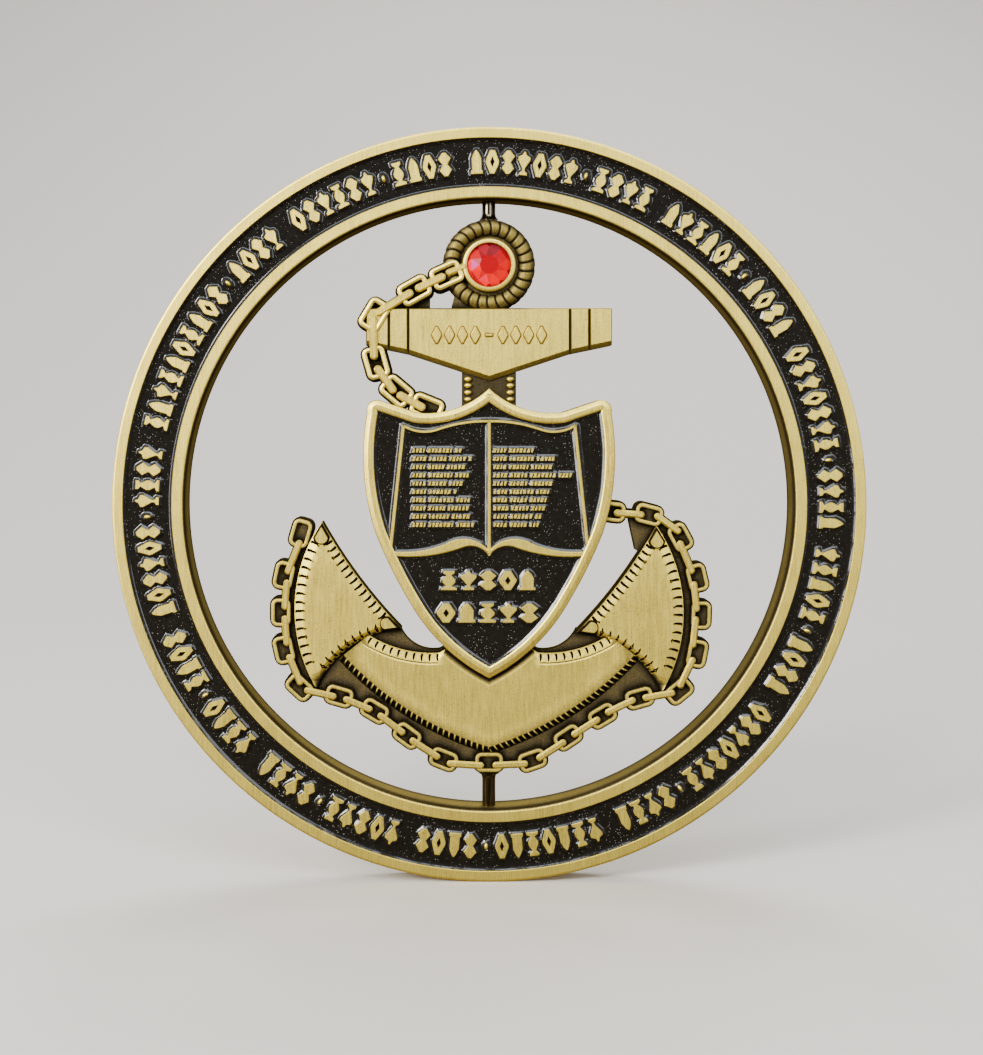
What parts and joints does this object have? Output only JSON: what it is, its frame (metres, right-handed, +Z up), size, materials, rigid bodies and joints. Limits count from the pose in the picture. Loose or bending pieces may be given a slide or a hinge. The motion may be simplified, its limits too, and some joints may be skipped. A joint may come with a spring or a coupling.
{
  "type": "spinner challenge coin",
  "caption": "Keepsake coin: a flat enamelled ring whose open centre holds an anchor and shield relief that spins on two pins.",
  "frame": {"origin": "centre of the coin, in its mid-plane and on the axis of the two pins", "axes": "+Z up along the spin axis towards the rope ring, -Y out of the front face, +X to the right seen from the front"},
  "size_m": [0.0762, 0.004, 0.0762],
  "materials": {
    "antique_brass": "antique plated and brushed, dark patina in the recesses",
    "black_enamel": "glossy black soft enamel",
    "bright_steel": "bright drawn wire",
    "red_crystal": "faceted foil-backed stone"
  },
  "bodies": {
    "ring": {"ring_casting": "antique_brass", "ring_front_enamel": "black_enamel", "ring_back_enamel": "black_enamel"},
    "centre": {"anchor_front_casting": "antique_brass", "anchor_back_casting": "antique_brass", "upper_pin": "bright_steel", "lower_pin": "bright_steel", "shield_front_plate": "antique_brass", "shield_back_plate": "antique_brass", "shield_front_enamel": "black_enamel", "shield_back_enamel": "black_enamel", "crystal_front": "red_crystal", "crystal_back": "red_crystal"}
  },
  "joints": [
    {"name": "centre_spin", "type": "hinge", "parent": "ring", "child": "centre", "pos_m": [0, 0, 0], "axis": [0, 0, 1], "continuous": true}
  ]
}
